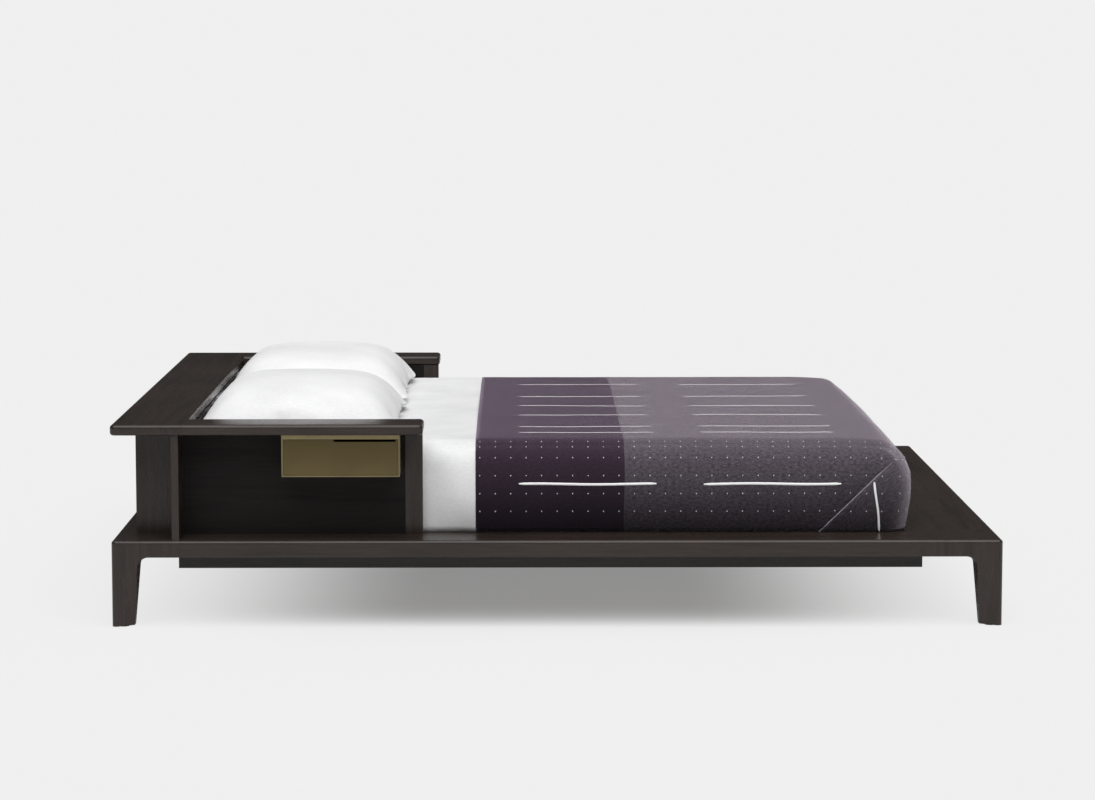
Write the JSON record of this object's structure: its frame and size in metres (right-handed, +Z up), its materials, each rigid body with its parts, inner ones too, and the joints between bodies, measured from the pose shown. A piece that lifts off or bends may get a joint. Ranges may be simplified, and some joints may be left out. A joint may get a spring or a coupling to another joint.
{
  "type": "platform bed with storage drawers",
  "caption": "Low double platform bed: thick deck on corner legs, U-shaped shelf round the head end with a small brass drawer under each arm, mattress, blanket and pillows.",
  "frame": {"origin": "on the floor under the middle of the bed", "axes": "+X to the foot end, -Y the near side, +Z up"},
  "size_m": [2.48, 2.13, 0.6471],
  "materials": {
    "wood_dark_stain": "very dark brown satin stain with fine straight grain",
    "underframe_wood": "dark brown stain, matt",
    "slat_birch": "planed, oiled",
    "dowel_beech": "fluted dowel",
    "satin_brass": "satin lacquered sheet",
    "zinc_steel": "zinc plated",
    "nylon_black": "moulded",
    "mattress_ticking": "woven ticking over foam",
    "white_cotton": "smooth white cotton percale",
    "plum_wool": "plum and heather felted wool with white stitching"
  },
  "bodies": {
    "frame": {"arm_fin_far": "wood_dark_stain", "arm_fin_near": "wood_dark_stain", "arm_post_far": "wood_dark_stain", "arm_post_near": "wood_dark_stain", "arm_wall_far": "wood_dark_stain", "arm_wall_near": "wood_dark_stain", "blanket": "plum_wool", "centre_beam": "underframe_wood", "centre_packer": "underframe_wood", "corner_leg_foot_far": "wood_dark_stain", "corner_leg_foot_near": "wood_dark_stain", "corner_leg_head_far": "wood_dark_stain", "corner_leg_head_near": "wood_dark_stain", "cross_rails": "underframe_wood", "drawer_glides": "nylon_black", "drawer_housing_far": "satin_brass", "drawer_housing_near": "satin_brass", "drawer_stops": "satin_brass", "fitted_sheet": "white_cotton", "foot_board": "wood_dark_stain", "head_board": "wood_dark_stain", "head_end_panel_far": "wood_dark_stain", "head_end_panel_near": "wood_dark_stain", "head_inner_panel": "wood_dark_stain", "head_outer_panel": "wood_dark_stain", "head_ribs": "wood_dark_stain", "housing_screws": "zinc_steel", "joint_plates": "zinc_steel", "ledge_arm_far": "wood_dark_stain", "ledge_arm_near": "wood_dark_stain", "ledge_head": "wood_dark_stain", "leg_glides": "nylon_black", "mattress": "mattress_ticking", "panel_dowels": "dowel_beech", "pillow_far": "white_cotton", "pillow_near": "white_cotton", "plate_screws": "zinc_steel", "side_board_far": "wood_dark_stain", "side_board_near": "wood_dark_stain", "slat_01": "slat_birch", "slat_02": "slat_birch", "slat_03": "slat_birch", "slat_04": "slat_birch", "slat_05": "slat_birch", "slat_06": "slat_birch", "slat_07": "slat_birch", "slat_08": "slat_birch", "slat_09": "slat_birch", "slat_10": "slat_birch", "slat_ledger_far": "slat_birch", "slat_ledger_near": "slat_birch", "underframe_bolts": "zinc_steel", "underframe_rail_far": "underframe_wood", "underframe_rail_foot": "underframe_wood", "underframe_rail_head": "underframe_wood", "underframe_rail_near": "underframe_wood"},
    "drawer_near": {"drawer_front_near": "satin_brass", "drawer_tray_near": "satin_brass"},
    "drawer_far": {"drawer_front_far": "satin_brass", "drawer_tray_far": "satin_brass"}
  },
  "joints": [
    {"name": "drawer_near_slide", "type": "slide", "parent": "frame", "child": "drawer_near", "axis": [0, -1, 0], "range_m": [0, 0.08]},
    {"name": "drawer_far_slide", "type": "slide", "parent": "frame", "child": "drawer_far", "axis": [0, 1, 0], "range_m": [0, 0.08]}
  ]
}
